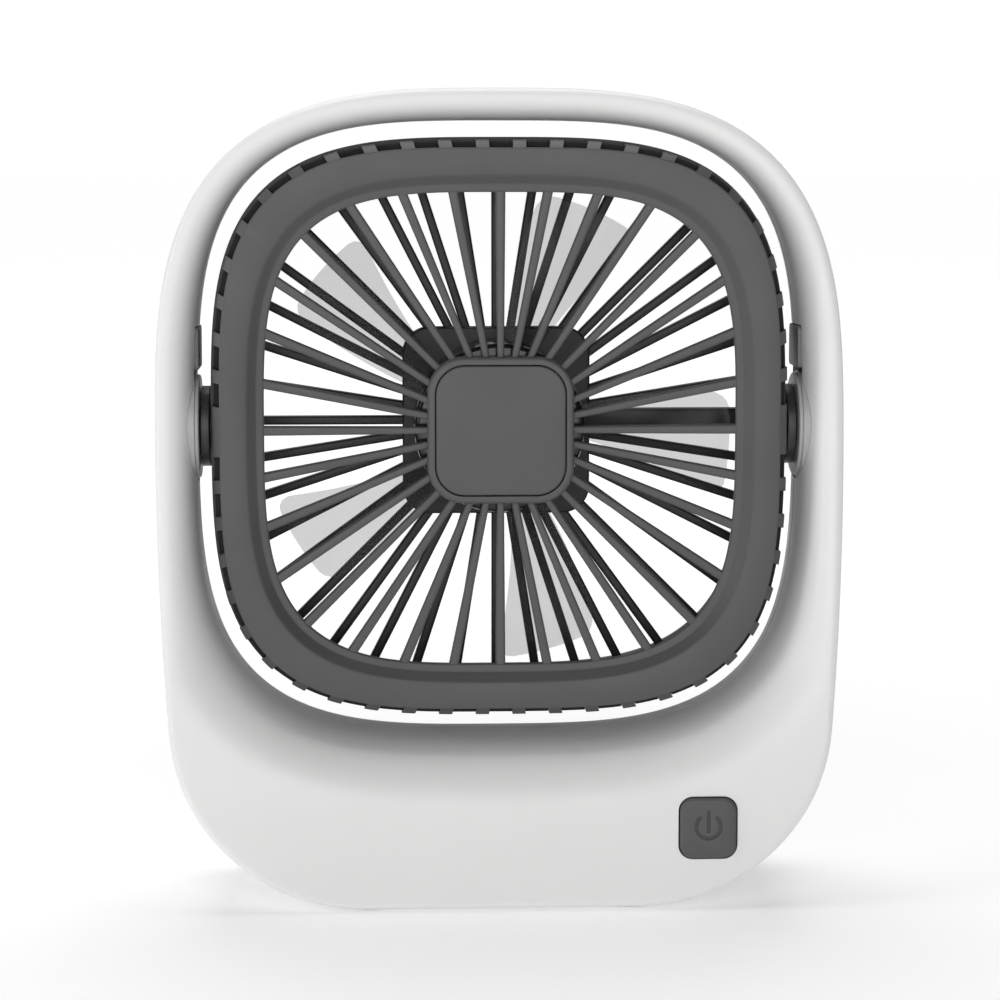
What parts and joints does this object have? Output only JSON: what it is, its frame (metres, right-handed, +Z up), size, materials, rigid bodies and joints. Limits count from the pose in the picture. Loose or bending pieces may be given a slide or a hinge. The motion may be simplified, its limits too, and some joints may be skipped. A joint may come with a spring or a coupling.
{
  "type": "box fan",
  "caption": "Small desktop fan: a rounded white frame on a deeper base holds a square-round fan head that tilts between two side pivots, with a push button low on the front.",
  "frame": {"origin": "on the floor under the middle of the four feet", "axes": "+Z up, the fan blows towards -Y (the front), +X to the right seen from the front"},
  "size_m": [0.14, 0.0437, 0.1672],
  "materials": {
    "white_plastic": "fine satin moulded plastic",
    "grey_plastic": "fine satin moulded plastic",
    "black_plastic": "fine satin moulded plastic",
    "pale_plastic": "smooth moulded plastic",
    "mid_plastic": "smooth moulded plastic",
    "button_plastic": "fine matt moulded plastic",
    "clear_plastic": "smoked, translucent, glossy",
    "foot_rubber": "matt",
    "steel": "plain",
    "plated_steel": "nickel plated",
    "core_steel": "stacked sheet",
    "copper": "enamelled copper wire",
    "bronze": "oiled sintered bronze",
    "magnet": "bonded magnet, matt",
    "board": "coated circuit board",
    "cell_wrap": "shrink sleeve"
  },
  "bodies": {
    "housing": {"housing_front_shell": "white_plastic", "housing_rear_shell": "white_plastic", "pivot_disc_left": "pale_plastic", "pivot_disc_right": "pale_plastic", "slot_cover_left": "mid_plastic", "slot_cover_right": "mid_plastic", "pivot_washer_left": "steel", "pivot_washer_right": "steel", "foot_front_left": "foot_rubber", "foot_front_right": "foot_rubber", "foot_rear_left": "foot_rubber", "foot_rear_right": "foot_rubber", "battery_cell": "cell_wrap", "battery_tray": "white_plastic", "control_board": "board", "power_switch": "black_plastic", "charge_socket": "plated_steel", "housing_screw_right": "steel", "housing_screw_left": "steel"},
    "power_button": {"power_button": "button_plastic"},
    "head": {"head_front_shell": "grey_plastic", "hub_cap": "grey_plastic", "head_rear_shell": "black_plastic", "rear_grille": "black_plastic", "pivot_boss_left": "black_plastic", "pivot_boss_right": "black_plastic", "head_screw_1": "steel", "head_screw_2": "steel", "head_screw_3": "steel", "head_screw_4": "steel", "stator_core": "core_steel", "winding_front": "copper", "winding_rear": "copper", "motor_board": "board", "bearing_front": "bronze", "bearing_rear": "bronze"},
    "rotor": {"impeller": "clear_plastic", "rotor_can": "plated_steel", "magnet_ring": "magnet", "motor_shaft": "steel", "shaft_clip": "steel"}
  },
  "joints": [
    {"name": "head_tilt", "type": "hinge", "parent": "housing", "child": "head", "pos_m": [0, 0, 0.098], "axis": [1, 0, 0], "range_deg": [-90, 90]},
    {"name": "fan_spin", "type": "hinge", "parent": "head", "child": "rotor", "pos_m": [0, 0, 0.098], "axis": [0, 1, 0], "continuous": true},
    {"name": "button_press", "type": "slide", "parent": "housing", "child": "power_button", "axis": [0, 1, 0], "range_m": [0, 0.0006], "stiffness_N_per_m": 800}
  ]
}
